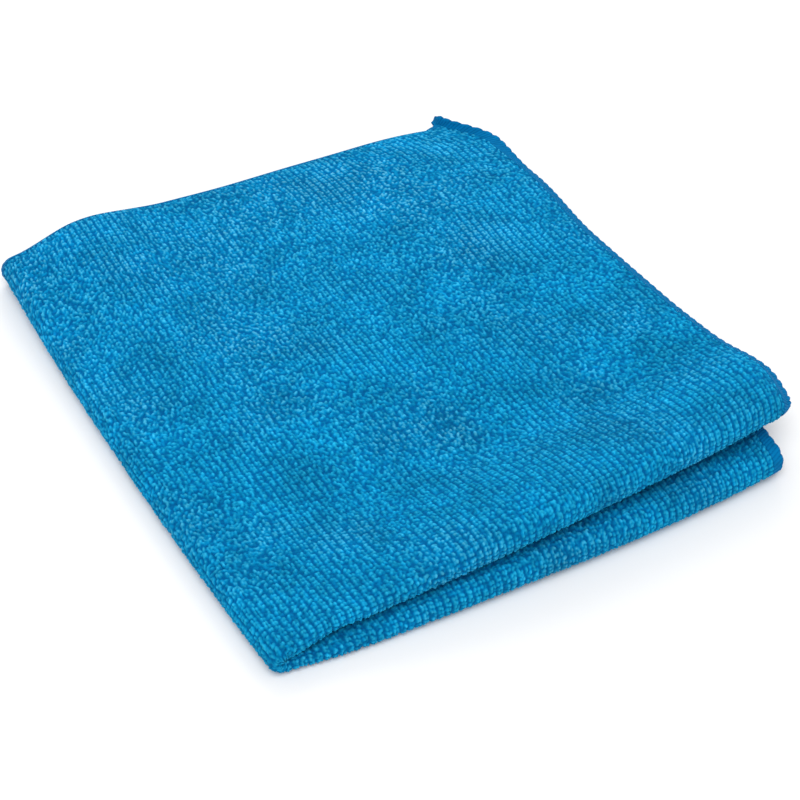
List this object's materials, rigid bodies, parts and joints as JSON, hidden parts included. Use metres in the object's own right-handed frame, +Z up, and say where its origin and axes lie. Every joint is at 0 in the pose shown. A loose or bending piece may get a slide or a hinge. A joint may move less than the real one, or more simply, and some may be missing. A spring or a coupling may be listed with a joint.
{
  "type": "polishing cloth",
  "caption": "Looped microfibre polishing cloth, folded in quarters with overlocked edges, whose upper half opens about its side fold.",
  "frame": {"origin": "middle of the folded cloth's footprint, on the surface that it lies on", "axes": "+Z up out of the surface, +Y from the front folds to the back hems along the side fold, +X from the side fold to the right hems"},
  "size_m": [0.1824, 0.2104, 0.029],
  "materials": {
    "terry": "looped microfibre terry, matt with a soft sheen",
    "overlock_thread": "overlocked polyester thread, matt"
  },
  "bodies": {
    "lower_half": {"panel_bottom": "terry", "panel_lower_inner": "terry", "front_fold_lower": "terry", "back_hem_bottom": "overlock_thread", "back_hem_lower_inner": "overlock_thread", "right_hem_bottom": "overlock_thread", "right_hem_lower_inner": "overlock_thread", "right_hem_lower_lip": "overlock_thread"},
    "side_fold": {"side_fold_outer": "terry", "side_fold_inner": "terry", "side_fold_corner": "terry", "back_hem_wrap_outer": "overlock_thread", "back_hem_wrap_inner": "overlock_thread"},
    "upper_half": {"panel_upper_inner": "terry", "panel_top": "terry", "front_fold_upper": "terry", "back_hem_upper_inner": "overlock_thread", "back_hem_top": "overlock_thread", "right_hem_upper_inner": "overlock_thread", "right_hem_top": "overlock_thread", "right_hem_upper_lip": "overlock_thread"}
  },
  "joints": [
    {"name": "lower_crease", "type": "hinge", "parent": "lower_half", "child": "side_fold", "pos_m": [-0.08817, 0, 0.00303], "axis": [0, -1, 0], "range_deg": [0, 86], "deforming": ["side_fold_outer", "side_fold_inner", "side_fold_corner", "back_hem_wrap_outer", "back_hem_wrap_inner"]},
    {"name": "upper_crease", "type": "hinge", "parent": "side_fold", "child": "upper_half", "pos_m": [-0.08817, 0, 0.00727], "axis": [0, -1, 0], "range_deg": [0, 86]}
  ],
  "couplings": [
    {"joint": "lower_crease", "follows": "upper_crease", "ratio": 1}
  ]
}
